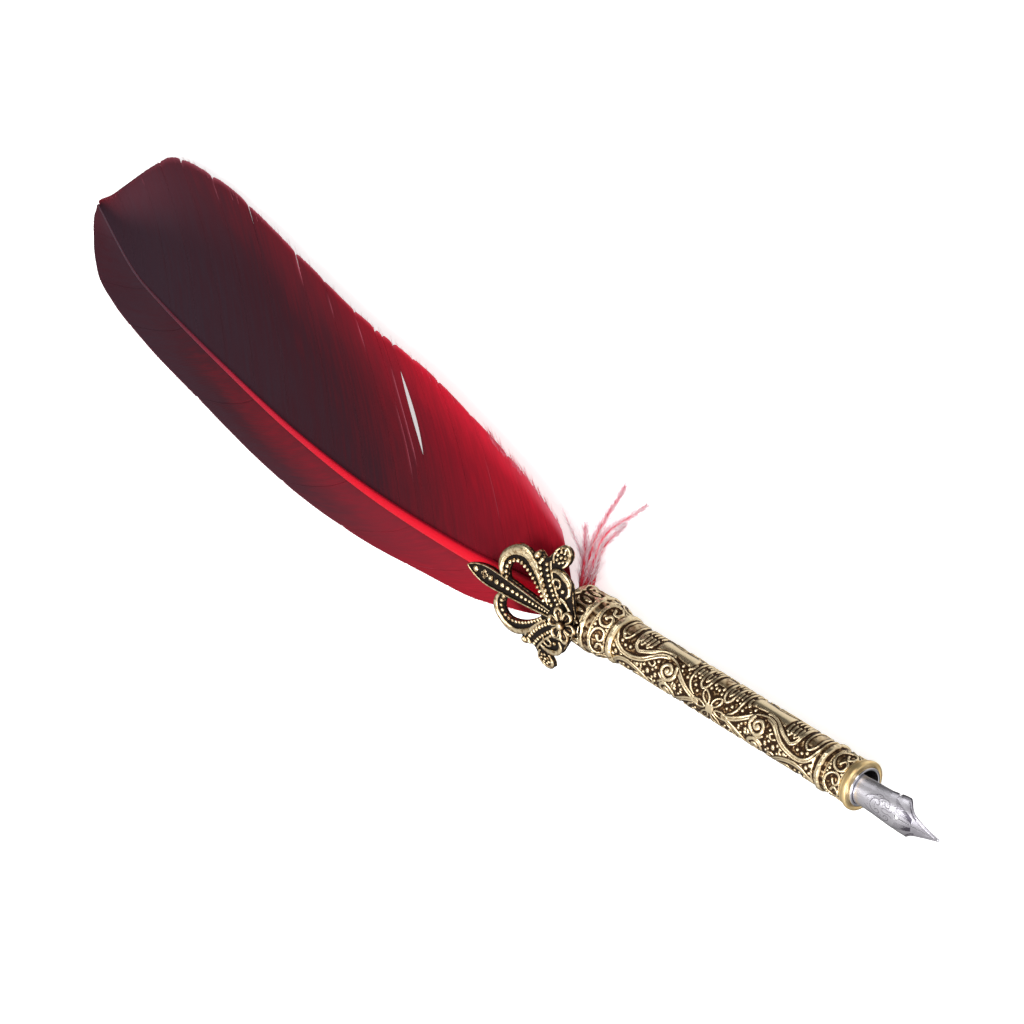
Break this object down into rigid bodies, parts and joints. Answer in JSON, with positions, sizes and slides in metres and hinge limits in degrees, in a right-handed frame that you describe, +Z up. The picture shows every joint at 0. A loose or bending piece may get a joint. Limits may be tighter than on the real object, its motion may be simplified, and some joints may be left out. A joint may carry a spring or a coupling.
{
  "type": "feather dip pen",
  "caption": "Dip pen with a large dyed feather set in a slim embossed metal barrel, a cast fleur-de-lis over its foot, and a pointed steel nib that pulls out.",
  "frame": {"origin": "on the surface the pen lies on, under the middle of its outline box", "axes": "+X along the barrel towards the nib, +Y towards the broad vane side, +Z up, out of the face of the ornament"},
  "size_m": [0.2764, 0.0604, 0.0156],
  "materials": {
    "antique_gold": "cast and embossed relief, gold on the high spots and black in the recesses",
    "polished_gold": "polished",
    "liner_brass": "plain drawn tube",
    "ferrule_chrome": "polished",
    "spring_steel": "plain",
    "nib_steel": "satin, pressed and engraved",
    "glue": "set resin",
    "quill_horn": "dyed horn, slightly glossy, darker toward the tip",
    "feather_vane": "dyed feather barbs, burgundy-black at the tip and bright red at the foot",
    "down": "loose dyed down"
  },
  "bodies": {
    "pen": {"neck_socket": "antique_gold", "collar_rim": "antique_gold", "rear_scroll_band": "antique_gold", "rear_ring": "antique_gold", "barrel_sleeve": "antique_gold", "front_ring": "antique_gold", "front_scroll_band": "antique_gold", "fleur_de_lis": "antique_gold", "rosette": "antique_gold", "rosette_stud": "antique_gold", "lip_ring": "polished_gold", "core_tube": "liner_brass", "nib_ferrule": "ferrule_chrome", "ferrule_plug": "spring_steel", "nib_clip": "spring_steel", "quill_packing": "glue", "quill_shaft": "quill_horn", "broad_vane": "feather_vane", "narrow_vane": "feather_vane", "down_plume_1": "down", "down_plume_2": "down", "down_plume_3": "down", "down_plume_4": "down", "down_plume_5": "down"},
    "nib": {"nib": "nib_steel"}
  },
  "joints": [
    {"name": "nib_pull", "type": "slide", "parent": "pen", "child": "nib", "axis": [1, 0, 0], "range_m": [0, 0.011]}
  ]
}
